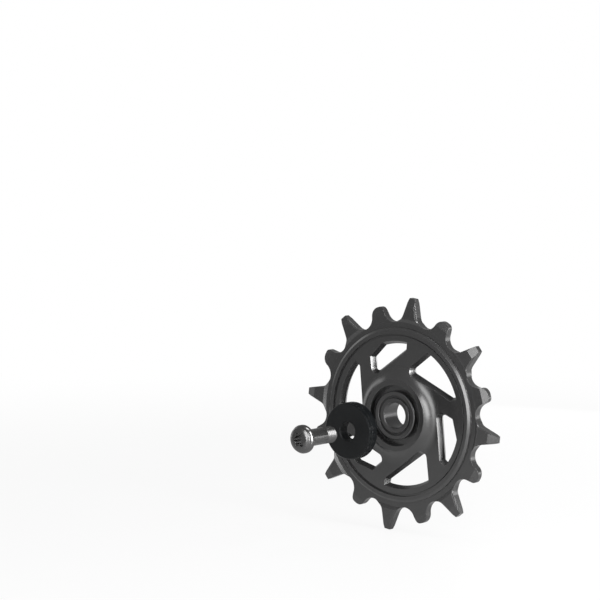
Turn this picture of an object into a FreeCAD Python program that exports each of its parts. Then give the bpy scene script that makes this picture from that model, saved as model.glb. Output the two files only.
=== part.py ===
import FreeCAD, Part
import math
import os

import Sketcher

# Jockey wheel of a rear derailleur: a toothed wheel on a sealed ball bearing,
# with the dust cap and the bolt that close its front, shown taken off in front of it.
# The origin is the wheel's centre. The axis is Y, the front is towards -Y, and +Z is up.
# Millimetres and degrees.

os.makedirs("parts", exist_ok=True)
document = FreeCAD.newDocument("jockey_wheel")
sheet = document.addObject("Spreadsheet::Sheet", "Sizes")

sizes = [
    ("chain_pitch", 12.7, "pin to pin of the chain"),
    ("tooth_pairs", 8, "thick and thin teeth, in turn"),
    ("seat_radius", 3.91, "round seat of a chain roller"),
    ("plate_half", 1.2, "half the thickness of the rim's plate and of the thin teeth"),
    ("plate_reach", 1.0, "how far the plate goes out past the roller seats' bottoms"),
    ("tooth_root", 1.05, "how far inside the seats' bottoms the teeth start"),
    ("thin_height", 5.25, "a thin tooth over the seats' bottoms"),
    ("thin_tip_half", 2.0, "half its tip's width before the corners are rounded"),
    ("thin_lead_corner", 2.5, "rounding of the corner on the left, seen from the front"),
    ("thin_trail_corner", 1.4, "rounding of the corner on the right"),
    ("thin_bevel", 2.2, "length of the bevel towards the tip"),
    ("thin_bevel_drop", 0.45, "what the bevel takes off each face at the tip"),
    ("thick_height", 7.75, "a thick tooth over the seats' bottoms"),
    ("thick_tip_half", 1.0, "half the tip's width"),
    ("thick_rise", 0.42, "height of a thick tooth's face over the plate"),
    ("thick_face_root", 0.6, "how far out from a tooth's root its raised faces start"),
    ("thick_slope", 45, "slope of the edges of that face"),
    ("thick_bevel", 2.9, "length of the bevel towards the tip"),
    ("thick_bevel_drop", 0.75, "what the bevel takes off each face at the tip"),
    ("facet_start", 0.06, "past the seats' bottoms, where a thick tooth's face starts to rise"),
    ("facet_run", 1.1, "length of that rise"),
    ("rim_slope_inset", 0.75, "from the seats' bottoms in to the foot of the rim's slope"),
    ("rim_slope_round", 4.0, "hollow at the foot of that slope"),
    ("rim_slope_run", 1.6, "length of the slope, up to the lip"),
    ("lip_half", 2.2, "half the width across the raised lips"),
    ("lip_width", 1.1, "width of a lip"),
    ("groove_width", 0.6, "width of the groove inside the lip"),
    ("groove_half", 1.35, "half the width across the groove floors"),
    ("band_width", 2.6, "width of the band from the groove to the windows"),
    ("web_half", 1.75, "half the thickness of the blades and of that band"),
    ("window_angle", 42.7, "from a thick tooth to the square-on direction of a long side"),
    ("short_lean", 28.5, "how far the short sides lean from square to the long sides"),
    ("narrow_depth", 6.5, "a narrow window's long side to its outer edge"),
    ("narrow_short", 7.75, "centre to the short side of a narrow window"),
    ("narrow_end", 41.5, "angle of its end wall"),
    ("gusset_depth", 2.2, "how far in from the outer edge the gusset leaves the short side"),
    ("gusset_angle", 20.3, "where the gusset meets the outer edge"),
    ("wide_depth", 7.6, "a wide window's long side to its outer edge"),
    ("wide_short", 8.5, "centre to the short side of a wide window"),
    ("wide_end", 46.5, "angle of its end wall"),
    ("window_corner", 1.0, "rounding of the windows' inner corners"),
    ("window_draft", 27.5, "slope of the window walls, both ways from the parting line"),
    ("hub_half", 3.5, "half the width of the hub and of the bearing"),
    ("channel_width", 1.95, "from the bearing out to the hub's ring"),
    ("channel_depth", 2.2, "depth of that channel"),
    ("ring_wall", 1.6, "width of the hub's ring"),
    ("flare_foot", 2.0, "from the hub's ring out to the foot of its flare"),
    ("flare_round", 6.9, "hollow of the flare"),
    ("bearing_outside", 7.5, "outer radius of the bearing"),
    ("bearing_bore", 4.0, "radius of the bearing's bore"),
    ("bearing_chamfer", 0.25, "chamfer of the bearing's outer edges and of its bore's"),
    ("race_chamfer", 0.15, "chamfer of the races' edges that face each other"),
    ("outer_share", 0.4, "the outer race's wall as a share of the bearing's section"),
    ("inner_share", 0.4143, "the inner race's wall as a share of that section"),
    ("ball_share", 0.2857, "a ball's radius as a share of that section"),
    ("ball_count", 11, "balls in the bearing"),
    ("ball_gap", 0.04, "clearance between a ball and its race"),
    ("cage_gap", 0.1, "clearance between the cage and each race"),
    ("prong_short", 0.4, "how far the cage's prongs stop short of the balls' front"),
    ("cage_back", 0.6, "thickness of the cage behind the balls"),
    ("pocket_gap", 0.05, "clearance between a ball and its pocket"),
    ("seal_recess", 0.45, "depth of a seal behind the bearing's face"),
    ("seal_thickness", 0.45, "thickness of a seal"),
    ("seal_bite", 0.3, "depth of the seal's groove in the outer race"),
    ("seal_gap", 0.06, "clearance of the seal's lip round the inner race"),
    ("skirt_side_gap", 0.85, "clearance of the cap's skirt inside the hub's ring"),
    ("skirt_wall", 0.55, "wall of the cap's skirt"),
    ("skirt_gap", 0.25, "clearance in front of the channel's floor with the cap home"),
    ("cap_face", 1.5, "height of the cap's front rim"),
    ("cap_step", 0.15, "step from the cap's front rim out to its skirt"),
    ("cap_edge", 0.25, "chamfer of the cap's front edges"),
    ("seat_inset", 0.25, "from the inner race's edge in to the ring that the cap bears by"),
    ("face_gap", 0.5, "clearance between the cap and the turning faces"),
    ("spigot_gap", 0.05, "clearance of the cap's spigot in the bearing's bore"),
    ("spigot_length", 2.0, "reach of that spigot into the bore"),
    ("spigot_taper", 0.28, "what the spigot's radius loses towards its end"),
    ("shank_radius", 2.5, "radius of the bolt's shank and thread"),
    ("shank_gap", 0.3, "clearance of the shank in the cap's hole"),
    ("shank_length", 13.2, "length under the head"),
    ("shank_tip", 0.5, "chamfer at the bolt's end"),
    ("head_ledge", 1.7, "from the shank out to the head's edge"),
    ("head_rim", 0.75, "straight height of the head"),
    ("dome_low_run", 0.45, "lower slope of the dome, inwards"),
    ("dome_low_rise", 0.85, "and upwards"),
    ("dome_top_run", 1.15, "upper slope of the dome, inwards"),
    ("dome_top_rise", 0.5, "and upwards"),
    ("socket_radius", 2.25, "outer radius of the six-lobe socket"),
    ("socket_valley", 1.62, "inner radius of the six-lobe socket"),
    ("lobe_join", 1.95, "radius where its lobes and hollows meet"),
    ("lobe_half_angle", 13, "half the angle that a lobe takes"),
    ("socket_depth", 1.5, "depth of the socket"),
    ("cap_travel", 21.9, "how far the cap is taken off to the front"),
    ("cap_drop", 2.3, "how far it then hangs below the axis, and the bolt with it"),
    ("bolt_travel", 20.5, "how far the bolt is drawn out of the cap"),
    ("wheel_turn", 7.4, "turn of the wheel from a thick tooth straight up"),
]

for row, (alias, amount, meaning) in enumerate(sizes, start=1):
    sheet.set(f"A{row}", meaning)
    sheet.set(f"B{row}", str(amount))
    sheet.setAlias(f"B{row}", alias)
document.recompute()


def bound(text):
    """The expression with each size's name led by its sheet."""
    words = []
    word = ""
    for letter in text + " ":
        if letter.isalnum() or letter == "_":
            word += letter
            continue
        if word in names:
            word = "Sizes." + word
        words.append(word + letter)
        word = ""
    return "".join(words).strip()


names = {alias for alias, amount, meaning in sizes}


def number(text):
    return float(sheet.evalExpression(bound(text)))


def drive(item, path, text):
    item.setExpression(path, bound(text))


# Radii, heights and angles that follow from the sizes
PITCH_RADIUS = "(chain_pitch / (2 * sin(90 / tooth_pairs)))"
HALF_TOOTH = "(90 / tooth_pairs)"
ROOT_RADIUS = f"({PITCH_RADIUS} - seat_radius)"
TOOTH_FOOT = f"({ROOT_RADIUS} - tooth_root)"
THIN_TIP = f"({ROOT_RADIUS} + thin_height)"
THICK_TIP = f"({ROOT_RADIUS} + thick_height)"
THICK_HALF = "(plate_half + thick_rise)"
SLOPE_FOOT = f"({ROOT_RADIUS} - rim_slope_inset)"
LIP_OUTSIDE = f"({SLOPE_FOOT} - rim_slope_run)"
GROOVE_OUTSIDE = f"({LIP_OUTSIDE} - lip_width)"
GROOVE_INSIDE = f"({GROOVE_OUTSIDE} - groove_width)"
WINDOW_RADIUS = f"({GROOVE_INSIDE} - band_width)"
RING_INSIDE = "(bearing_outside + channel_width)"
RING_OUTSIDE = f"({RING_INSIDE} + ring_wall)"
FLARE_FOOT = f"({RING_OUTSIDE} + flare_foot)"
SECTION = "(bearing_outside - bearing_bore)"
OUTER_RACE_INSIDE = f"(bearing_outside - outer_share * {SECTION})"
INNER_RACE_OUTSIDE = f"(bearing_bore + inner_share * {SECTION})"
BALL_RADIUS = f"(ball_share * {SECTION})"
BALL_CIRCLE = f"(({OUTER_RACE_INSIDE} + {INNER_RACE_OUTSIDE}) / 2)"
RACE_GROOVE = f"({BALL_RADIUS} + ball_gap)"
SEAL_FRONT = "(hub_half - seal_recess)"
SEAL_BACK = "(hub_half - seal_recess - seal_thickness)"
SEAL_SEAT = f"({OUTER_RACE_INSIDE} + seal_bite)"
CAP_HEIGHT = "(cap_face + channel_depth - skirt_gap)"
SKIRT_OUTSIDE = f"({RING_INSIDE} - skirt_side_gap)"
CAP_RADIUS = f"({SKIRT_OUTSIDE} - cap_step)"
CAP_HOLE = "(shank_radius + shank_gap)"
CAP_SEAT = f"({INNER_RACE_OUTSIDE} - seat_inset)"
HEAD_RADIUS = "(shank_radius + head_ledge)"
HEAD_HEIGHT = "(head_rim + dome_low_rise + dome_top_rise)"


def new_body(name):
    body = document.addObject("PartDesign::Body", name)
    body.Label = name
    return body


def origin_feature(body, role):
    for feature in body.Origin.OriginFeatures:
        if feature.Role == role:
            return feature
    raise ValueError(role)


def new_sketch(body, name, role, lift=None):
    sketch = body.newObject("Sketcher::SketchObject", name)
    sketch.AttachmentSupport = [(origin_feature(body, role), "")]
    sketch.MapMode = "FlatFace"
    if lift:
        drive(sketch, "AttachmentOffset.Base.z", lift)
    return sketch


def pin_point(sketch, geometry, position, place):
    """Holds a point of the sketch at two expressions."""
    for kind, text in zip(("DistanceX", "DistanceY"), place):
        amount = number(text)
        index = sketch.addConstraint(Sketcher.Constraint(kind, -1, 1, geometry, position, amount))
        drive(sketch, f"Constraints[{index}]", text)


def vector(place):
    return FreeCAD.Vector(number(place[0]), number(place[1]), 0)


def closed_outline(sketch, places):
    """A closed outline of straight lines through places given as expressions."""
    count = len(places)
    first = sketch.GeometryCount
    points = [vector(place) for place in places]
    for index in range(count):
        sketch.addGeometry(Part.LineSegment(points[index], points[(index + 1) % count]), False)
    for index in range(count):
        after = first + (index + 1) % count
        sketch.addConstraint(Sketcher.Constraint("Coincident", first + index, 2, after, 1))
        pin_point(sketch, first + index, 1, places[index])


def turned_about_axis(body, name, outlines, kind="PartDesign::Revolution"):
    """Turns closed outlines of (radius, y) about the Y axis."""
    sketch = new_sketch(body, name + "_section", "XY_Plane")
    for places in outlines:
        closed_outline(sketch, places)
    feature = body.newObject(kind, name)
    feature.Profile = (sketch, [""])
    feature.ReferenceAxis = (sketch, ["V_Axis"])
    feature.Angle = 360
    body.Tip = feature
    document.recompute()
    return feature


def opposite(places):
    """The same outline on the other side of the middle plane."""
    return [(radius, f"-({height})") for radius, height in places]


def mirrored_section(half):
    """A section given from the middle to the front, closed by the same at the back."""
    return opposite(half) + list(reversed(half))


def polar(text_radius, text_angle):
    """Place at a radius and at an angle from straight up, positive to the left."""
    return f"-({text_radius}) * sin({text_angle})", f"({text_radius}) * cos({text_angle})"


def patterned(body, features, count, name):
    pattern = body.newObject("PartDesign::PolarPattern", name)
    pattern.Originals = features
    pattern.Axis = (origin_feature(body, "Y_Axis"), [""])
    pattern.Angle = 360
    drive(pattern, "Occurrences", count)
    body.Tip = pattern
    document.recompute()
    return pattern


def touch_turn(corner, centre, radius, side):
    """The angle at which a line from a corner touches a circle, on one side."""
    reach = corner - centre
    return math.atan2(reach.y, reach.x) + side * math.acos(radius / reach.Length)


def on_circle(centre, radius, turn):
    return centre + FreeCAD.Vector(radius * math.cos(turn), radius * math.sin(turn), 0)


def chained(sketch, chain):
    """Adds pieces end to end; each names its ends in the order of travel and how it joins on."""
    first = sketch.GeometryCount
    for piece, ends, joint in chain:
        sketch.addGeometry(piece, False)
    for index, (piece, ends, joint) in enumerate(chain):
        after = (index + 1) % len(chain)
        start = chain[after][1][0]
        sketch.addConstraint(
            Sketcher.Constraint(joint, first + index, ends[1], first + after, start)
        )


def tooth_outline(sketch, tip_radius, tip_half, foot_radius, corners=None):
    """A tooth pointing straight up, between the middles of two roller seats."""
    seat = number("seat_radius")
    lift = FreeCAD.Vector(0, 0, 1)
    tip = {}
    foot = {}
    root = {}
    touch = {}
    arc = {}
    for side, sign in (("left", 1), ("right", -1)):
        half = HALF_TOOTH if sign > 0 else f"-{HALF_TOOTH}"
        centre = vector(polar(PITCH_RADIUS, half))
        tip[side] = vector((f"-{tip_half}" if sign > 0 else tip_half, tip_radius))
        foot[side] = vector(polar(foot_radius, half))
        root[side] = vector(polar(ROOT_RADIUS, half))
        turn = touch_turn(tip[side], centre, seat, -sign)
        root_turn = math.radians(number(half) - 90)
        turn = root_turn + math.remainder(turn - root_turn, 2 * math.pi)
        touch[side] = on_circle(centre, seat, turn)
        circle = Part.Circle(centre, lift, seat)
        arc[side] = Part.ArcOfCircle(circle, min(turn, root_turn), max(turn, root_turn))

    line = Part.LineSegment
    if corners:
        flank_end = {}
        top_end = {}
        curve = {}
        for side, across, text in zip(("left", "right"), (1, -1), corners):
            radius = number(text)
            down = (touch[side] - tip[side]).normalize()
            along = FreeCAD.Vector(across, 0, 0)
            reach = radius / math.tan(down.getAngle(along) / 2)
            flank_end[side] = tip[side] + down * reach
            top_end[side] = tip[side] + along * reach
            middle = top_end[side] - FreeCAD.Vector(0, radius, 0)
            spoke = flank_end[side] - middle
            turns = sorted((math.atan2(spoke.y, spoke.x) % (2 * math.pi), math.pi / 2))
            curve[side] = Part.ArcOfCircle(Part.Circle(middle, lift, radius), *turns)
        top = [
            (line(touch["right"], flank_end["right"]), (1, 2), "Tangent"),
            (curve["right"], (1, 2), "Tangent"),
            (line(top_end["right"], top_end["left"]), (1, 2), "Tangent"),
            (curve["left"], (1, 2), "Tangent"),
            (line(flank_end["left"], touch["left"]), (1, 2), "Tangent"),
        ]
    else:
        top = [
            (line(touch["right"], tip["right"]), (1, 2), "Coincident"),
            (line(tip["right"], tip["left"]), (1, 2), "Coincident"),
            (line(tip["left"], touch["left"]), (1, 2), "Tangent"),
        ]
    chain = [
        (line(foot["left"], foot["right"]), (1, 2), "Coincident"),
        (line(foot["right"], root["right"]), (1, 2), "Coincident"),
        (arc["right"], (2, 1), "Tangent"),
        *top,
        (arc["left"], (2, 1), "Coincident"),
        (line(root["left"], foot["left"]), (1, 2), "Coincident"),
    ]
    chained(sketch, chain)
    last = len(chain) - 1
    pin_point(sketch, 0, 1, polar(foot_radius, HALF_TOOTH))
    pin_point(sketch, 0, 2, polar(foot_radius, f"-{HALF_TOOTH}"))
    pin_point(sketch, 1, 2, polar(ROOT_RADIUS, f"-{HALF_TOOTH}"))
    pin_point(sketch, last, 1, polar(ROOT_RADIUS, HALF_TOOTH))
    pin_point(sketch, 2, 3, polar(PITCH_RADIUS, f"-{HALF_TOOTH}"))
    pin_point(sketch, last - 1, 3, polar(PITCH_RADIUS, HALF_TOOTH))
    if not corners:
        pin_point(sketch, 4, 1, (tip_half, tip_radius))
        pin_point(sketch, 4, 2, (f"-{tip_half}", tip_radius))
        return
    for piece, text in ((6, corners[0]), (4, corners[1])):
        index = sketch.addConstraint(Sketcher.Constraint("Radius", piece, number(text)))
        drive(sketch, f"Constraints[{index}]", text)
    for flank, side, half in ((3, "right", tip_half), (7, "left", f"-{tip_half}")):
        point = sketch.addGeometry(Part.Point(tip[side]), True)
        pin_point(sketch, point, 1, (half, tip_radius))
        sketch.addConstraint(Sketcher.Constraint("PointOnObject", point, 1, flank))
        if side == "right":
            sketch.addConstraint(Sketcher.Constraint("PointOnObject", point, 1, 5))
    sketch.addConstraint(Sketcher.Constraint("Horizontal", 5))


def padded(body, name, sketch, length, symmetric=True):
    pad = body.newObject("PartDesign::Pad", name)
    pad.Profile = (sketch, [""])
    pad.SideType = "Symmetric" if symmetric else "One side"
    drive(pad, "Length", length)
    document.recompute()
    return pad


def toothed_wheel():
    body = new_body("toothed_wheel")
    body.Placement.Rotation = FreeCAD.Rotation(FreeCAD.Vector(0, 1, 0), number("wheel_turn"))
    drive(body, "Placement.Rotation.Angle", "wheel_turn")
    turned_about_axis(body, "blank", [mirrored_section([
        ("bearing_outside", "hub_half - channel_depth"),
        (RING_INSIDE, "hub_half - channel_depth"),
        (RING_INSIDE, "hub_half"),
        (RING_OUTSIDE, "hub_half"),
        (FLARE_FOOT, "web_half"),
        (GROOVE_INSIDE, "web_half"),
        (GROOVE_INSIDE, "groove_half"),
        (GROOVE_OUTSIDE, "groove_half"),
        (GROOVE_OUTSIDE, "lip_half"),
        (LIP_OUTSIDE, "lip_half"),
        (SLOPE_FOOT, "plate_half"),
        (f"{ROOT_RADIUS} + plate_reach", "plate_half"),
    ])])
    rounded(body, "flare", "flare_round", FLARE_FOOT)
    rounded(body, "rim_slope", "rim_slope_round", SLOPE_FOOT)
    roller_seats(body)
    thin_teeth(body)
    thick_teeth(body)
    windows(body, "narrow_window", window_angle="window_angle", gusset=True)
    windows(body, "wide_window", window_angle="window_angle - 60", gusset=False)
    return body


def rounded(body, name, radius, edge_radius):
    """Rounds the circular edges of one radius, on both sides of the wheel."""
    wanted = number(edge_radius)
    base = body.Tip
    edges = []
    for index, edge in enumerate(base.Shape.Edges, start=1):
        circle = isinstance(edge.Curve, Part.Circle)
        if circle and abs(edge.Curve.Radius - wanted) < 0.001:
            edges.append(f"Edge{index}")
    fillet = body.newObject("PartDesign::Fillet", name)
    fillet.Base = (base, edges)
    drive(fillet, "Radius", radius)
    body.Tip = fillet
    document.recompute()


def bevel(body, name, tip_radius, length, half, drop):
    """Slopes both faces of the teeth towards their tips."""
    over = "0.5"
    slope = f"({drop}) / ({length})"
    wedge = [
        (f"{tip_radius} - {length} - {over}", f"{half} + {over} * {slope}"),
        (f"{tip_radius} + {over}", f"{half} - {drop} - {over} * {slope}"),
        (f"{tip_radius} + {over}", f"{half} + {over}"),
        (f"{tip_radius} - {length} - {over}", f"{half} + {over}"),
    ]
    turned_about_axis(body, name, [wedge, opposite(wedge)], "PartDesign::Groove")


def roller_seats(body):
    """The seats of the chain's rollers, cut into the blank's rim."""
    sketch = new_sketch(body, "seat_outline", "XZ_Plane")
    place = polar(PITCH_RADIUS, HALF_TOOTH)
    radius = number("seat_radius")
    sketch.addGeometry(Part.Circle(vector(place), FreeCAD.Vector(0, 0, 1), radius), False)
    pin_point(sketch, 0, 3, place)
    index = sketch.addConstraint(Sketcher.Constraint("Radius", 0, radius))
    drive(sketch, f"Constraints[{index}]", "seat_radius")
    seat = body.newObject("PartDesign::Pocket", "roller_seat")
    seat.Profile = (sketch, [""])
    seat.Type = "ThroughAll"
    seat.SideType = "Symmetric"
    body.Tip = seat
    document.recompute()
    patterned(body, [seat], "2 * tooth_pairs", "roller_seats")


def thin_teeth(body):
    sketch = new_sketch(body, "thin_tooth_outline", "XZ_Plane")
    drive(sketch, "AttachmentOffset.Rotation.Angle", f"2 * {HALF_TOOTH}")
    corners = ("thin_lead_corner", "thin_trail_corner")
    tooth_outline(sketch, THIN_TIP, "thin_tip_half", TOOTH_FOOT, corners)
    pad = padded(body, "thin_tooth", sketch, "2 * plate_half")
    patterned(body, [pad], "tooth_pairs", "thin_teeth")
    bevel(body, "thin_bevel_cut", THIN_TIP, "thin_bevel", "plate_half", "thin_bevel_drop")


def thick_teeth(body):
    sketch = new_sketch(body, "thick_tooth_outline", "XZ_Plane")
    tooth_outline(sketch, THICK_TIP, "thick_tip_half", TOOTH_FOOT)
    core = padded(body, "thick_tooth", sketch, "2 * plate_half")
    faces = [core]
    for side, sign in (("front", ""), ("rear", "-")):
        outline = new_sketch(body, f"thick_{side}_outline", "XZ_Plane", f"{sign}plate_half")
        tooth_outline(outline, THICK_TIP, "thick_tip_half", f"({TOOTH_FOOT} + thick_face_root)")
        face = padded(body, f"thick_{side}", outline, "thick_rise", symmetric=False)
        face.Reversed = side == "rear"
        drive(face, "TaperAngle", "-thick_slope")
        document.recompute()
        faces.append(face)
    patterned(body, faces, "tooth_pairs", "thick_teeth")
    start = f"{ROOT_RADIUS} + facet_start"
    inner = f"{ROOT_RADIUS} + facet_start - thick_face_root - tooth_root"
    skin = "plate_half + 0.02"
    over = "0.3"
    top = f"{THICK_HALF} + {over} * thick_rise / facet_run"
    facet = [
        (inner, skin),
        (start, skin),
        (f"{start} + facet_run + {over}", top),
        (inner, top),
    ]
    turned_about_axis(body, "thick_facet_cut", [facet, opposite(facet)], "PartDesign::Groove")
    bevel(body, "thick_bevel_cut", THICK_TIP, "thick_bevel", THICK_HALF, "thick_bevel_drop")


def window_places(kind, gusset):
    """Corners of a window whose long side lies straight above the centre."""
    long_side = f"({WINDOW_RADIUS} - {kind}_depth)"
    short = f"{kind}_short"
    end = f"{kind}_end"

    def on_short_side(radius):
        along = f"sqrt({radius} ^ 2 - {short} ^ 2)"
        return (
            f"{along} * sin(short_lean) - {short} * cos(short_lean)",
            f"{along} * cos(short_lean) + {short} * sin(short_lean)",
        )

    inner = (f"({long_side} * sin(short_lean) - {short}) / cos(short_lean)", long_side)
    places = [
        inner,
        (f"{long_side} * tan({end})", long_side),
        (f"{WINDOW_RADIUS} * sin({end})", f"{WINDOW_RADIUS} * cos({end})"),
    ]
    if gusset:
        across = f"{WINDOW_RADIUS} * sin(gusset_angle)"
        places.append((across, f"{WINDOW_RADIUS} * cos(gusset_angle)"))
        places.append(on_short_side(f"({WINDOW_RADIUS} - gusset_depth)"))
    else:
        places.append(on_short_side(WINDOW_RADIUS))
    return places


def window_outline(sketch, kind, gusset):
    places = window_places(kind, gusset)
    points = [vector(place) for place in places]
    radius = number("window_corner")
    outer = number(WINDOW_RADIUS)
    inner = points[0]
    along = (points[1] - inner).normalize()
    up = (points[-1] - inner).normalize()
    reach = radius / math.tan(up.getAngle(along) / 2)
    middle = inner + (along + up).normalize() * (radius / math.sin(up.getAngle(along) / 2))
    turns = []
    for point in (inner + up * reach, inner + along * reach):
        turns.append(math.atan2(point.y - middle.y, point.x - middle.x) % (2 * math.pi))
    crown = (points[2] + points[3]).normalize() * outer
    line = Part.LineSegment
    circle = Part.Circle(middle, FreeCAD.Vector(0, 0, 1), radius)
    chain = [
        (line(inner + along * reach, points[1]), (1, 2), "Coincident"),
        (line(points[1], points[2]), (1, 2), "Coincident"),
        (Part.Arc(points[2], crown, points[3]), (1, 2), "Coincident"),
    ]
    if gusset:
        chain.append((line(points[3], points[4]), (1, 2), "Coincident"))
    chain.append((line(points[-1], inner + up * reach), (1, 2), "Tangent"))
    chain.append((Part.ArcOfCircle(circle, turns[0], turns[1]), (1, 2), "Tangent"))
    chained(sketch, chain)
    corner = len(chain) - 1
    pin_point(sketch, 0, 2, places[1])
    pin_point(sketch, 1, 2, places[2])
    pin_point(sketch, 3, 1, places[3])
    if gusset:
        pin_point(sketch, 4, 1, places[4])
    for piece, text in ((2, WINDOW_RADIUS), (corner, "window_corner")):
        index = sketch.addConstraint(Sketcher.Constraint("Radius", piece, number(text)))
        drive(sketch, f"Constraints[{index}]", text)
    point = sketch.addGeometry(Part.Point(inner), True)
    pin_point(sketch, point, 1, places[0])
    sketch.addConstraint(Sketcher.Constraint("PointOnObject", point, 1, 0))
    sketch.addConstraint(Sketcher.Constraint("PointOnObject", point, 1, corner - 1))


def windows(body, name, window_angle, gusset):
    kind = name.split("_")[0]
    cuts = []
    for side in ("front", "rear"):
        sketch = new_sketch(body, f"{name}_{side}_outline", "XZ_Plane")
        drive(sketch, "AttachmentOffset.Rotation.Angle", window_angle)
        window_outline(sketch, kind, gusset)
        cut = body.newObject("PartDesign::Pocket", f"{name}_{side}")
        cut.Profile = (sketch, [""])
        cut.Reversed = side == "front"
        drive(cut, "Length", "hub_half")
        drive(cut, "TaperAngle", "window_draft")
        body.Tip = cut
        document.recompute()
        cuts.append(cut)
    patterned(body, cuts, "3", f"{name}s")


def ball_groove(body):
    """The groove in which the balls run."""
    sketch = new_sketch(body, "ball_groove_section", "XY_Plane")
    centre = vector((BALL_CIRCLE, "0"))
    circle = Part.Circle(centre, FreeCAD.Vector(0, 0, 1), number(RACE_GROOVE))
    sketch.addGeometry(circle, False)
    pin_point(sketch, 0, 3, (BALL_CIRCLE, "0"))
    index = sketch.addConstraint(Sketcher.Constraint("Radius", 0, number(RACE_GROOVE)))
    drive(sketch, f"Constraints[{index}]", RACE_GROOVE)
    groove = body.newObject("PartDesign::Groove", "ball_groove")
    groove.Profile = (sketch, [""])
    groove.ReferenceAxis = (sketch, ["V_Axis"])
    groove.Angle = 360
    body.Tip = groove
    document.recompute()


def bearing_outer_race():
    body = new_body("bearing_outer_race")
    turned_about_axis(body, "outer_ring", [mirrored_section([
        (OUTER_RACE_INSIDE, SEAL_BACK),
        (SEAL_SEAT, SEAL_BACK),
        (SEAL_SEAT, SEAL_FRONT),
        (OUTER_RACE_INSIDE, SEAL_FRONT),
        (OUTER_RACE_INSIDE, "hub_half - race_chamfer"),
        (f"{OUTER_RACE_INSIDE} + race_chamfer", "hub_half"),
        ("bearing_outside - bearing_chamfer", "hub_half"),
        ("bearing_outside", "hub_half - bearing_chamfer"),
    ])])
    ball_groove(body)
    return body


def bearing_inner_race():
    body = new_body("bearing_inner_race")
    turned_about_axis(body, "inner_ring", [mirrored_section([
        (INNER_RACE_OUTSIDE, "hub_half - race_chamfer"),
        (f"{INNER_RACE_OUTSIDE} - race_chamfer", "hub_half"),
        ("bearing_bore + bearing_chamfer", "hub_half"),
        ("bearing_bore", "hub_half - bearing_chamfer"),
    ])])
    ball_groove(body)
    return body


def bearing_seal(name, sign):
    body = new_body(name)
    inside = f"{INNER_RACE_OUTSIDE} + seal_gap"
    turned_about_axis(body, name + "_ring", [[
        (inside, f"{sign}{SEAL_BACK}"),
        (SEAL_SEAT, f"{sign}{SEAL_BACK}"),
        (SEAL_SEAT, f"{sign}{SEAL_FRONT}"),
        (inside, f"{sign}{SEAL_FRONT}"),
    ]])
    return body


def bearing_ball(index):
    ball = document.addObject("Part::Sphere", f"bearing_ball_{index + 1:02d}")
    ball.Label = f"bearing_ball_{index + 1:02d}"
    turn = f"({index} * 360 / ball_count)"
    drive(ball, "Radius", BALL_RADIUS)
    drive(ball, "Placement.Base.x", f"{BALL_CIRCLE} * sin{turn}")
    drive(ball, "Placement.Base.z", f"{BALL_CIRCLE} * cos{turn}")
    document.recompute()
    return ball


def bearing_cage():
    body = new_body("bearing_cage")
    inside = f"{INNER_RACE_OUTSIDE} + cage_gap"
    outside = f"{OUTER_RACE_INSIDE} - cage_gap"
    turned_about_axis(body, "cage_ring", [[
        (inside, f"prong_short - {BALL_RADIUS}"),
        (outside, f"prong_short - {BALL_RADIUS}"),
        (outside, f"{BALL_RADIUS} + cage_back"),
        (inside, f"{BALL_RADIUS} + cage_back"),
    ]])
    sketch = new_sketch(body, "ball_pocket_section", "YZ_Plane")
    radius = f"({BALL_RADIUS} + pocket_gap)"
    # Local x of this plane is Y and local y is Z, so the ball on top is a half disc here.
    top = FreeCAD.Vector(0, number(f"{BALL_CIRCLE} + {radius}"), 0)
    side = FreeCAD.Vector(number(radius), number(BALL_CIRCLE), 0)
    low = FreeCAD.Vector(0, number(f"{BALL_CIRCLE} - {radius}"), 0)
    sketch.addGeometry(Part.Arc(low, side, top), False)
    sketch.addGeometry(Part.LineSegment(top, low), False)
    sketch.addConstraint(Sketcher.Constraint("Coincident", 0, 2, 1, 1))
    sketch.addConstraint(Sketcher.Constraint("Coincident", 0, 1, 1, 2))
    pin_point(sketch, 0, 3, ("0", BALL_CIRCLE))
    pin_point(sketch, 1, 1, ("0", f"{BALL_CIRCLE} + {radius}"))
    sketch.addConstraint(Sketcher.Constraint("PointOnObject", 1, 2, -2))
    pocket = body.newObject("PartDesign::Groove", "ball_pocket")
    pocket.Profile = (sketch, [""])
    pocket.ReferenceAxis = (sketch, ["V_Axis"])
    pocket.Angle = 360
    body.Tip = pocket
    document.recompute()
    patterned(body, [pocket], "ball_count", "ball_pockets")
    return body


def dust_cap():
    """Turned about the axis, its front face at local y = 0."""
    body = new_body("dust_cap")
    drive(body, "Placement.Base.y", "-(hub_half + cap_face) - cap_travel")
    drive(body, "Placement.Base.z", "-cap_drop")
    spigot = "bearing_bore - spigot_gap"
    turned_about_axis(body, "cap_section", [[
        (f"{CAP_HOLE} + cap_edge", "0"),
        (f"{CAP_RADIUS} - cap_edge", "0"),
        (CAP_RADIUS, "cap_edge"),
        (CAP_RADIUS, "cap_face - cap_step"),
        (SKIRT_OUTSIDE, "cap_face"),
        (SKIRT_OUTSIDE, CAP_HEIGHT),
        (f"{SKIRT_OUTSIDE} - skirt_wall", CAP_HEIGHT),
        (f"{SKIRT_OUTSIDE} - skirt_wall", "cap_face - face_gap"),
        (CAP_SEAT, "cap_face - face_gap"),
        (CAP_SEAT, "cap_face"),
        (spigot, "cap_face"),
        (f"{spigot} - spigot_taper", "cap_face + spigot_length"),
        (CAP_HOLE, "cap_face + spigot_length"),
        (CAP_HOLE, "cap_edge"),
    ]])
    return body


def bulge_radius(half_chord, height):
    """Radius of an arc of this height over this half chord."""
    return f"(({half_chord} ^ 2 + {height} ^ 2) / (2 * {height}))"


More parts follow.
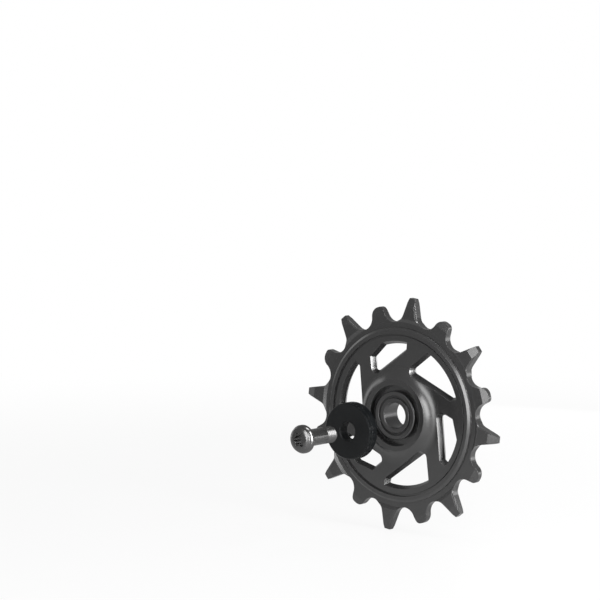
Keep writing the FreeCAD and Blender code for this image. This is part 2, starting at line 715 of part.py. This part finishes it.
def six_lobes(sketch):
    """Six round lobes joined by hollows."""
    lobe_round = bulge_radius(
        "(lobe_join * sin(lobe_half_angle))",
        "(socket_radius - lobe_join * cos(lobe_half_angle))",
    )
    hollow_round = bulge_radius(
        "(lobe_join * sin(30 - lobe_half_angle))",
        "(lobe_join * cos(30 - lobe_half_angle) - socket_valley)",
    )

    def place(radius, turn):
        return f"{radius} * cos({turn})", f"{radius} * sin({turn})"

    for index in range(6):
        middle = 60 * index
        before = place("lobe_join", f"{middle} - lobe_half_angle")
        crest = place("socket_radius", f"{middle}")
        after = place("lobe_join", f"{middle} + lobe_half_angle")
        valley = place("socket_valley", f"{middle + 30}")
        following = place("lobe_join", f"{middle + 60} - lobe_half_angle")
        sketch.addGeometry(Part.Arc(vector(before), vector(crest), vector(after)), False)
        sketch.addGeometry(Part.Arc(vector(following), vector(valley), vector(after)), False)
    for index in range(6):
        lobe = 2 * index
        hollow = lobe + 1
        following = (lobe + 2) % 12
        sketch.addConstraint(Sketcher.Constraint("Coincident", lobe, 2, hollow, 2))
        sketch.addConstraint(Sketcher.Constraint("Coincident", hollow, 1, following, 1))
        pin_point(sketch, lobe, 1, place("lobe_join", f"{60 * index} - lobe_half_angle"))
        pin_point(sketch, lobe, 2, place("lobe_join", f"{60 * index} + lobe_half_angle"))
        for piece, text in ((lobe, lobe_round), (hollow, hollow_round)):
            row = sketch.addConstraint(Sketcher.Constraint("Radius", piece, number(text)))
            drive(sketch, f"Constraints[{row}]", text)


def pulley_bolt():
    """Turned about the axis, the underside of its head at local y = 0."""
    body = new_body("pulley_bolt")
    drive(body, "Placement.Base.y", "-(hub_half + cap_face) - cap_travel - bolt_travel")
    drive(body, "Placement.Base.z", "-cap_drop")
    turned_about_axis(body, "bolt_section", [[
        ("0", f"-{HEAD_HEIGHT}"),
        (f"{HEAD_RADIUS} - dome_low_run - dome_top_run", f"-{HEAD_HEIGHT}"),
        (f"{HEAD_RADIUS} - dome_low_run", "-(head_rim + dome_low_rise)"),
        (HEAD_RADIUS, "-head_rim"),
        (HEAD_RADIUS, "0"),
        ("shank_radius", "0"),
        ("shank_radius", "shank_length - shank_tip"),
        ("shank_radius - shank_tip", "shank_length"),
        ("0", "shank_length"),
    ]])
    sketch = new_sketch(body, "socket_outline", "XZ_Plane", HEAD_HEIGHT)
    six_lobes(sketch)
    socket = body.newObject("PartDesign::Pocket", "socket")
    socket.Profile = (sketch, [""])
    drive(socket, "Length", "socket_depth")
    body.Tip = socket
    document.recompute()
    return body


built = [
    toothed_wheel(),
    bearing_outer_race(),
    bearing_inner_race(),
    bearing_seal("bearing_seal_front", "-"),
    bearing_seal("bearing_seal_rear", ""),
    bearing_cage(),
    dust_cap(),
    pulley_bolt(),
]
for index in range(round(number("ball_count"))):
    built.append(bearing_ball(index))

document.recompute()
for item in document.Objects:
    if "Invalid" in item.State or "Error" in item.State:
        raise RuntimeError(f"{item.Label}: {item.State}")
for item in built:
    if item.Shape.isNull() or not item.Shape.isValid():
        raise RuntimeError(f"{item.Label}: shape")
    print(item.Label, round(item.Shape.Volume, 2), item.Shape.BoundBox)
    item.Shape.exportStep(f"parts/{item.Label}.step")
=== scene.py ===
import math

import bpy
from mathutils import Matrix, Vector


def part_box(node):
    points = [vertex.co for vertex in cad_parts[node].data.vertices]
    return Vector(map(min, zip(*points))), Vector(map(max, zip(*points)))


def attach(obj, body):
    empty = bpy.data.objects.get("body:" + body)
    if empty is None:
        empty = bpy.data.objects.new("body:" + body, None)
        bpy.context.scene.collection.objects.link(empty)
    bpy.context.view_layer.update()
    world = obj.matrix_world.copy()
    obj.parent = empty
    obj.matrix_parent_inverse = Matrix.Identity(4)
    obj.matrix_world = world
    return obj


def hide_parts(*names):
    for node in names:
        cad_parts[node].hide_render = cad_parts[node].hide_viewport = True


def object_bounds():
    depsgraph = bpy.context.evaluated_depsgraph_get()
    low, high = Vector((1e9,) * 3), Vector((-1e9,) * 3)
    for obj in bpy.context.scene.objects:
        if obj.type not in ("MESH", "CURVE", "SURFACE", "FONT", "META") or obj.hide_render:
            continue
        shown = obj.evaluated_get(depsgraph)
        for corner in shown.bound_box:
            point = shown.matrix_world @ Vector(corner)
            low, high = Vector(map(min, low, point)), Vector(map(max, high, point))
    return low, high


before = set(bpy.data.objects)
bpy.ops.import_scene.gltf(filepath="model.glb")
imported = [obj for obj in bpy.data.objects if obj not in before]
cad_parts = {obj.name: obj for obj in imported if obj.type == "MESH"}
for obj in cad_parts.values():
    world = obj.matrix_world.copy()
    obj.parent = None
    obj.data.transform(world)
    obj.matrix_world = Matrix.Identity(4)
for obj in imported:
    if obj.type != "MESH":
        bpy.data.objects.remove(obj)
cad_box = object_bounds()
scene = bpy.context.scene
scene.view_settings.view_transform = "Standard"

# Camera at the photograph's angle: a long lens nearly level with the wheel, to the right of
# its front.
CAMERA_TURN = 39.466
CAMERA_LIFT = 4.683
CAMERA_PLACE = (0.403546, -0.539235, 0.090492)


def outward(turn, lift):
    """The way out from the wheel, at an angle to the right of its front and one above level."""
    aside, up = math.radians(turn), math.radians(lift)
    return Vector((math.sin(aside) * math.cos(up), -math.cos(aside) * math.cos(up), math.sin(up)))


lens = bpy.data.cameras.new("photo_camera")
lens.lens = 132.0
lens.sensor_width = 36.0
lens.clip_start = 0.01
lens.clip_end = 20.0
camera = bpy.data.objects.new("photo_camera", lens)
scene.collection.objects.link(camera)
camera.location = CAMERA_PLACE
camera.rotation_euler = (-outward(CAMERA_TURN, CAMERA_LIFT)).to_track_quat("-Z", "Y").to_euler()
scene.camera = camera

# Toothed wheel: one moulding of glass-filled nylon, dark grey and satin. The mould's fine
# spark-eroded grain is all over it, and every sharp edge is painted a little lighter as a painted
# highlight.
NYLON_EDGE = 0.00012
BEVEL_SAMPLES = 6
# Where the painted edge highlight begins and where it is full, as the rounded surface turns away from
# the true one.
EDGE_HIGHLIGHT_STARTS = 0.03
EDGE_HIGHLIGHT_IS_FULL = 0.25


class Wire:
    """An output of a node, which does shader maths as plain Python."""

    def __init__(self, maker, socket):
        self.maker = maker
        self.socket = socket

    def maths(self, operation, *values):
        return self.maker.node("Math", {"operation": operation}, dict(enumerate(values)))

    def __add__(self, other):
        return self.maths("ADD", self, other)

    def __radd__(self, other):
        return self.maths("ADD", other, self)

    def __sub__(self, other):
        return self.maths("SUBTRACT", self, other)

    def __rsub__(self, other):
        return self.maths("SUBTRACT", other, self)

    def __mul__(self, other):
        return self.maths("MULTIPLY", self, other)

    def __rmul__(self, other):
        return self.maths("MULTIPLY", other, self)

    def __pow__(self, other):
        return self.maths("POWER", self, other)


class Finish:
    """A material, or the world, and the nodes that make its look."""

    def __init__(self, name, owners=bpy.data.materials, **plain):
        self.material = owners.new(name)
        self.material.use_nodes = True
        self.tree = self.material.node_tree
        self.set(**plain)

    def node(self, kind, settings=None, sockets=None, output=0):
        made = self.tree.nodes.new("ShaderNode" + kind)
        for name, value in (settings or {}).items():
            setattr(made, name, value)
        for name, value in (sockets or {}).items():
            if isinstance(value, Wire):
                self.tree.links.new(value.socket, made.inputs[name])
            else:
                made.inputs[name].default_value = value
        return Wire(self, made.outputs[output])

    def place(self):
        return self.node("TexCoord", output="Object")

    def along(self, letter):
        """How far a place is along X, Y or Z."""
        return self.node("SeparateXYZ", None, {0: self.place()}, letter)

    def from_axis(self, height=0.0):
        """How far a place is from the line along Y at a height."""
        across = self.along("X")
        upward = self.along("Z") - height
        return (across * across + upward * upward) ** 0.5

    def noise(self, scale, detail=2.0, rough=0.5):
        values = {"Vector": self.place(), "Scale": scale, "Detail": detail, "Roughness": rough}
        return self.node("TexNoise", None, values, "Fac")

    def blend(self, mask, low, high):
        settings = {"data_type": "RGBA"}
        return self.node("Mix", settings, {0: mask, 6: (*low, 1), 7: (*high, 1)}, 2)

    def step(self, value, low, high):
        """0 below low, 1 above high, smooth between."""
        sockets = {"Value": value, "From Min": low, "From Max": high}
        return self.node("MapRange", {"interpolation_type": "SMOOTHSTEP"}, sockets)

    def rounded(self, radius):
        """The surface's direction, as if its sharp edges were rounded to a radius."""
        return self.node("Bevel", {"samples": BEVEL_SAMPLES}, {"Radius": radius})

    def bump(self, height, strength, distance, edge):
        """Grain on a surface whose sharp edges are rounded to the radius edge."""
        sockets = {
            "Height": height, "Strength": strength, "Distance": distance, "Normal": self.rounded(edge)
        }
        return self.node("Bump", None, sockets, "Normal")

    def edges(self, radius):
        """1 along sharp edges, 0 on the flats."""
        true = self.node("NewGeometry", output="Normal")
        sockets = {0: self.rounded(radius), 1: true}
        agree = self.node("VectorMath", {"operation": "DOT_PRODUCT"}, sockets, "Value")
        return self.step(1 - agree, EDGE_HIGHLIGHT_STARTS, EDGE_HIGHLIGHT_IS_FULL)

    def set(self, **values):
        for name, value in values.items():
            socket = self.tree.nodes["Principled BSDF"].inputs[name.replace("_", " ")]
            if isinstance(value, Wire):
                self.tree.links.new(value.socket, socket)
            else:
                socket.default_value = value


def dress(node, finish):
    """Gives a CAD node its finish."""
    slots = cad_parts[node].data.materials
    slots.clear()
    slots.append(finish.material)


nylon = Finish("wheel_nylon", Specular_IOR_Level=0.85)
nylon_cloud = nylon.noise(140.0, 3.0)
nylon_grain = nylon.noise(3100.0, 3.0, 0.6)
# Base colour follows the nylon's own cloudy tone, and is lighter along every sharp edge: a painted
# edge highlight.
nylon_tone_and_edge_highlight = 0.7 * nylon_cloud + 0.3 * nylon.edges(NYLON_EDGE)
nylon.set(
    Base_Color=nylon.blend(nylon_tone_and_edge_highlight, (0.009, 0.009, 0.0094), (0.0165, 0.0162, 0.0158)),
    Roughness=0.20 + 0.04 * nylon_cloud + 0.06 * nylon_grain,
    Normal=nylon.bump(nylon_grain, 0.12, 0.00003, NYLON_EDGE),
)
dress("toothed_wheel", nylon)

# Ball bearing: two hardened steel races, ground bright and then browned, with the marks of
# the grinding wheel running round them.
steel = Finish("bearing_steel", Metallic=1.0)
rings = steel.node("CombineXYZ", None, {0: steel.from_axis(), 1: steel.along("Y")})
marks = steel.node("TexNoise", None, {"Vector": rings, "Scale": 9000.0, "Detail": 3.0}, "Fac")
steel.set(
    Base_Color=steel.blend(marks, (0.075, 0.075, 0.078), (0.12, 0.119, 0.117)),
    Roughness=0.22 + 0.16 * marks,
    Normal=steel.bump(marks, 0.10, 0.00002, 0.00008),
)
dress("bearing_outer_race", steel)
dress("bearing_inner_race", steel)

# Seals: black nitrile rubber on a thin ring, one in each face of the bearing.
rubber = Finish("seal_rubber")
rubber_grain = rubber.noise(3000.0, 2.0)
rubber.set(
    Base_Color=rubber.blend(rubber_grain, (0.008, 0.008, 0.008), (0.016, 0.016, 0.016)),
    Roughness=0.50 + 0.15 * rubber_grain,
    Normal=rubber.bump(rubber_grain, 0.15, 0.00002, 0.0001),
)
dress("bearing_seal_front", rubber)
dress("bearing_seal_rear", rubber)

# Cage and balls, hidden behind the seals: a moulded nylon crown that keeps the polished
# steel balls apart.
crown = Finish("cage_nylon")
crown_cloud = crown.noise(900.0, 2.0)
crown.set(
    Base_Color=crown.blend(crown_cloud, (0.36, 0.32, 0.24), (0.42, 0.38, 0.30)),
    Roughness=0.45 + 0.1 * crown_cloud,
)
dress("bearing_cage", crown)
polished = Finish("ball_steel", Metallic=1.0)
polish = polished.noise(6000.0, 1.0)
polished.set(
    Base_Color=polished.blend(polish, (0.52, 0.52, 0.53), (0.60, 0.60, 0.61)),
    Roughness=0.06 + 0.05 * polish,
)
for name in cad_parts:
    if name.startswith("bearing_ball"):
        dress(name, polished)

# Dust cap: turned from aluminium, bead-blasted and anodised black, which leaves a fine
# grain on the face. The rims were turned last and are smoother.
CAP_DROP = -0.0023
FACE_REACH = 0.0081
RIM_BLEND = 0.0002

anodised = Finish("cap_anodised", Specular_IOR_Level=0.2)
turned_rim = anodised.step(anodised.from_axis(CAP_DROP), FACE_REACH, FACE_REACH + RIM_BLEND)
blast = anodised.noise(5200.0, 2.0, 0.7)
speckle = anodised.step(anodised.noise(3600.0, 1.0), 0.56, 0.72)
anodised.set(
    Base_Color=anodised.blend(speckle, (0.0025, 0.003, 0.0034), (0.007, 0.0075, 0.008)),
    Metallic=0.12 * turned_rim,
    Roughness=0.38 + 0.12 * blast - 0.24 * turned_rim,
    Normal=anodised.bump(blast * (1 - turned_rim), 0.18, 0.00003, 0.00005),
)
dress("dust_cap", anodised)

# Pulley bolt: cold-headed steel, blackened, with a thread rolled on its last stretch. The
# frame's plain shank ends where the thread starts, and a threaded end goes on from there,
# a little tapered where it starts in the nut.
BOLT_DROP = -0.0023
THREAD_START = -0.0389
THREAD_CREST = 0.0025
THREAD_PITCH = 0.0008
THREAD_DEPTH = 0.00045
THREAD_TURNS = 8
THREAD_STEPS = 48
TURNS_BEFORE_CUT = 1.291
FLANK = 0.42 * THREAD_PITCH
SEED_SIZE = 0.0001
TAPER_LENGTH = 0.0005
TAPER = 0.84
BOLT_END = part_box("pulley_bolt")[1][1]
MERGE = 0.000002


def enter(piece):
    """Selects one piece alone and all of its mesh, in edit mode."""
    bpy.ops.object.select_all(action="DESELECT")
    piece.select_set(True)
    bpy.context.view_layer.objects.active = piece
    bpy.ops.object.mode_set(mode="EDIT")
    bpy.ops.mesh.select_all(action="SELECT")


def merged_copy(node, name):
    """A copy of a CAD node's mesh with its triangles joined up, left in edit mode."""
    copy = bpy.data.objects.new(name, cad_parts[node].data.copy())
    scene.collection.objects.link(copy)
    enter(copy)
    bpy.ops.mesh.customdata_custom_splitnormals_clear()
    bpy.ops.mesh.remove_doubles(threshold=MERGE)
    return copy


def finish_piece(piece, finish, body, smooth):
    """Leaves edit mode and gives a piece its smooth shading, its finish and its body."""
    bpy.ops.object.mode_set(mode="OBJECT")
    bpy.ops.object.shade_smooth_by_angle(angle=math.radians(smooth))
    piece.data.materials.clear()
    piece.data.materials.append(finish.material)
    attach(piece, body)


def cut_off(y, keep_rear):
    """Cuts the piece in hand square to the axis and closes the cut."""
    bpy.ops.mesh.select_all(action="SELECT")
    bpy.ops.mesh.bisect(
        plane_co=(0, y, 0), plane_no=(0, 1, 0), clear_inner=keep_rear, clear_outer=not keep_rear
    )
    bpy.ops.mesh.edge_face_add()


black_steel = Finish("bolt_steel", Metallic=1.0)
turned = black_steel.noise(2600.0, 3.0, 0.6)
black_steel.set(
    Base_Color=black_steel.blend(turned, (0.105, 0.105, 0.107), (0.13, 0.129, 0.127)),
    Roughness=0.20 + 0.05 * turned,
    Normal=black_steel.bump(turned, 0.01, 0.00003, 0.00008),
)

bolt = merged_copy("pulley_bolt", "bolt_shank_and_head")
cut_off(THREAD_START, keep_rear=False)
finish_piece(bolt, black_steel, "bolt", 45)
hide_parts("pulley_bolt")

first_crest = THREAD_START - TURNS_BEFORE_CUT * THREAD_PITCH
ridge = ((-THREAD_DEPTH, FLANK), (0, THREAD_PITCH - 2 * FLANK), (THREAD_DEPTH, FLANK))
bpy.ops.object.select_all(action="DESELECT")
bpy.ops.mesh.primitive_plane_add(size=SEED_SIZE, location=(THREAD_CREST, first_crest, 0))
thread = bpy.context.object
thread.name = "bolt_thread"
bpy.ops.object.transform_apply(location=True, rotation=False, scale=False)
enter(thread)
bpy.ops.mesh.merge(type="CENTER")
for inward, along in ridge:
    bpy.ops.mesh.extrude_region_move(TRANSFORM_OT_translate={"value": (inward, along, 0)})
bpy.ops.object.mode_set(mode="OBJECT")
screw = thread.modifiers.new("thread", "SCREW")
screw.axis = "Y"
screw.angle = math.tau
screw.screw_offset = THREAD_PITCH
screw.iterations = THREAD_TURNS
screw.steps = THREAD_STEPS
screw.render_steps = THREAD_STEPS
bpy.ops.object.modifier_apply(modifier="thread")
enter(thread)
bpy.ops.mesh.remove_doubles(threshold=2 * MERGE)
cut_off(THREAD_START, keep_rear=True)
cut_off(BOLT_END, keep_rear=False)
bpy.ops.mesh.select_mode(type="VERT")
bpy.ops.mesh.select_all(action="DESELECT")
bpy.ops.object.mode_set(mode="OBJECT")
for vertex in thread.data.vertices:
    vertex.select = vertex.co.y > BOLT_END - TAPER_LENGTH
bpy.ops.object.mode_set(mode="EDIT")
bpy.ops.transform.resize(value=(TAPER, 1, TAPER), center_override=(0, 0, 0))
bpy.ops.mesh.select_all(action="SELECT")
bpy.ops.transform.translate(value=(0, 0, BOLT_DROP))
bpy.ops.mesh.normals_make_consistent(inside=False)
finish_piece(thread, black_steel, "bolt", 20)

# Studio: a pale floor under the wheel, white where the camera sees it, and eight plain soft
# boxes. Six stand round the wheel, the strongest at its right, and two hang above it.
SEEN_IN_GLOSS = 0.15
FLOOR_GAP = 0.0002
FLOOR_SIZE = 8.0
WHITE_NEARBY = 0.9
WHITENS_FROM = 0.12
WHITENS_TO = 0.45
WORLD_STRENGTH = 0.3
BOX_AWAY = 0.30
BOX_FOOT = 0.002
floor_height = cad_box[0][2] - FLOOR_GAP
bpy.ops.object.select_all(action="DESELECT")
bpy.ops.mesh.primitive_plane_add(size=FLOOR_SIZE, location=(0, 0, floor_height))
floor = bpy.context.object
floor.name = "floor"


def shown_white(finish, output, under, share):
    """Mixes white over a look where the camera, metal or glass sees it, by a share each."""
    seen = share * finish.node("LightPath", output="Is Camera Ray")
    for ray in ("Is Glossy Ray", "Is Transmission Ray"):
        seen = seen + SEEN_IN_GLOSS * finish.node("LightPath", output=ray)
    kind = "Emission" if output == "Material Output" else "Background"
    white = finish.node(kind, None, {"Color": (1, 1, 1, 1)})
    mixed = finish.node("MixShader", None, {0: seen, 1: under, 2: white})
    finish.tree.links.new(mixed.socket, finish.tree.nodes[output].inputs["Surface"])


pale = Finish("floor_pale", Base_Color=(0.5, 0.5, 0.5, 1), Roughness=0.4)
paint = Wire(pale, pale.tree.nodes["Principled BSDF"].outputs[0])
distance = pale.node("VectorMath", {"operation": "LENGTH"}, {0: pale.place()}, "Value")
far = pale.step(distance, WHITENS_FROM, WHITENS_TO)
shown_white(pale, "Material Output", paint, WHITE_NEARBY + (1 - WHITE_NEARBY) * far)
floor.data.materials.append(pale.material)

studio = Finish("studio", bpy.data.worlds)
scene.world = studio.material
dim = studio.node("Background", None, {"Color": (1, 1, 1, 1), "Strength": WORLD_STRENGTH})
shown_white(studio, "World Output", dim, 1.0)


def soft_box(name, side, power, width=0.09, tall=0.20, rise=0):
    """A soft box that faces the wheel, from an angle to the right of the wheel's front. It
    stands on the floor, or hangs at an angle above it."""
    light = bpy.data.lights.new(name, "AREA")
    light.shape = "RECTANGLE"
    light.size = width
    light.size_y = tall
    light.energy = power
    stand = bpy.data.objects.new(name, light)
    scene.collection.objects.link(stand)
    way = outward(side, rise)
    stand.location = way * BOX_AWAY
    if not rise:
        stand.location.z = floor_height + BOX_FOOT + tall / 2
    stand.rotation_euler = way.to_track_quat("Z", "Y").to_euler()


soft_box("box_right", 82, 1.7)
soft_box("box_front", -2, 0.34)
soft_box("box_camera", 28, 0.50)
soft_box("box_left", -80, 0.08)
soft_box("box_rear", 140, 0.07, tall=0.08)
soft_box("box_back", 195, 0.12, width=0.18, tall=0.10)
soft_box("box_high", 85, 0.5, width=0.10, tall=0.10, rise=45)
soft_box("box_top", 85, 0.3, width=0.10, tall=0.10, rise=82)
